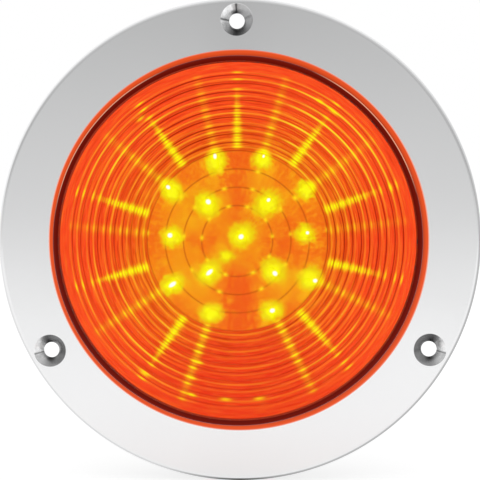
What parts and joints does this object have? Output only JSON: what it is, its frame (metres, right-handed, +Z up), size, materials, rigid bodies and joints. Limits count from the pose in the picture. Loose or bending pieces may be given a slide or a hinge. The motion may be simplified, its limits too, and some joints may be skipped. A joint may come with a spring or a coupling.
{
  "type": "round trailer lamp",
  "caption": "Round amber LED trailer lamp with a ringed lens in a stainless screw-on flange and a rear plug socket.",
  "frame": {"origin": "centre of the mounting plane behind the flange, at the centre of the screw circle", "axes": "+Y along the lamp axis from the lens to the plug, +Z up through the top screw, +X right as seen from in front"},
  "size_m": [0.1396, 0.048, 0.1396],
  "materials": {
    "bezel_flange": "lightly brushed stainless steel",
    "lens": "clear amber acrylic",
    "lens_seal": "soft black rubber",
    "flange_gasket": "closed-cell black foam",
    "housing": "fine-grained black plastic",
    "led_board": "white solder resist",
    "board_screws": "zinc plated",
    "terminal_seal": "moulded rubber",
    "surge_suppressor": "moulded epoxy",
    "terminal_ground": "turned brass",
    "terminal_marker": "turned brass",
    "terminal_turn": "turned brass",
    "led_01": "clear epoxy, lit amber",
    "led_02": "clear epoxy, lit amber",
    "led_03": "clear epoxy, lit amber",
    "led_04": "clear epoxy, lit amber",
    "led_05": "clear epoxy, lit amber",
    "led_06": "clear epoxy, lit amber",
    "led_07": "clear epoxy, lit amber",
    "led_08": "clear epoxy, lit amber",
    "led_09": "clear epoxy, lit amber",
    "led_10": "clear epoxy, lit amber",
    "led_11": "clear epoxy, lit amber",
    "led_12": "clear epoxy, lit amber",
    "led_13": "clear epoxy, lit amber",
    "led_14": "clear epoxy, lit amber",
    "led_15": "clear epoxy, lit amber",
    "ballast_resistor_1": "painted blue, plain",
    "ballast_resistor_2": "painted blue, plain",
    "ballast_resistor_3": "painted blue, plain",
    "ballast_resistor_4": "painted blue, plain",
    "ballast_resistor_5": "painted blue, plain",
    "rectifier_diode_1": "moulded epoxy",
    "rectifier_diode_2": "moulded epoxy"
  },
  "bodies": {
    "root": {"bezel_flange": "bezel_flange", "lens": "lens", "lens_seal": "lens_seal", "flange_gasket": "flange_gasket", "housing": "housing", "led_board": "led_board", "board_screws": "board_screws", "terminal_seal": "terminal_seal", "surge_suppressor": "surge_suppressor", "terminal_ground": "terminal_ground", "terminal_marker": "terminal_marker", "terminal_turn": "terminal_turn", "led_01": "led_01", "led_02": "led_02", "led_03": "led_03", "led_04": "led_04", "led_05": "led_05", "led_06": "led_06", "led_07": "led_07", "led_08": "led_08", "led_09": "led_09", "led_10": "led_10", "led_11": "led_11", "led_12": "led_12", "led_13": "led_13", "led_14": "led_14", "led_15": "led_15", "ballast_resistor_1": "ballast_resistor_1", "ballast_resistor_2": "ballast_resistor_2", "ballast_resistor_3": "ballast_resistor_3", "ballast_resistor_4": "ballast_resistor_4", "ballast_resistor_5": "ballast_resistor_5", "rectifier_diode_1": "rectifier_diode_1", "rectifier_diode_2": "rectifier_diode_2"}
  },
  "joints": []
}
